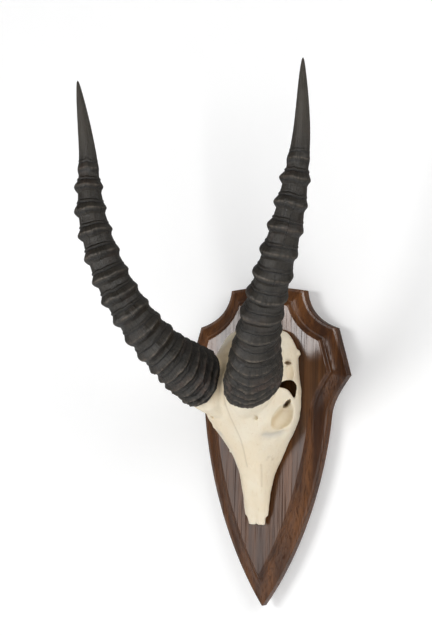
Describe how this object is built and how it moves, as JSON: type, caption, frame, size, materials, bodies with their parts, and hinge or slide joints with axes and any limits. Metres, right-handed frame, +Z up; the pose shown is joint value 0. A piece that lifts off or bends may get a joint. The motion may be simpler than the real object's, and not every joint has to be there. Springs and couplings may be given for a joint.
{
  "type": "gazelle shield mount",
  "caption": "Gazelle skull plate with ringed, upswept horns fixed to a moulded dark wooden shield that hangs flat on a wall",
  "frame": {"origin": "middle of the shield's flat back, half way up the shield", "axes": "+Y points out of the back towards the wall, -Y is the front, +Z is up, +X is to the right seen from the front"},
  "size_m": [0.2534, 0.1976, 0.5301],
  "materials": {
    "dark_wood": "satin varnished dark walnut with vertical grain",
    "bone": "bleached dry bone, cream with tan shading",
    "horn": "dark grey-brown horn keratin, satin, ringed",
    "plated_steel": "zinc plated steel",
    "screw_brass": "plain brass wood screws"
  },
  "bodies": {
    "root": {"shield": "dark_wood", "skull": "bone", "left_horn": "horn", "right_horn": "horn", "hanger_plate": "plated_steel", "hanger_screw_left": "plated_steel", "hanger_screw_right": "plated_steel", "skull_screw_upper": "screw_brass", "skull_screw_lower": "screw_brass"}
  },
  "joints": []
}
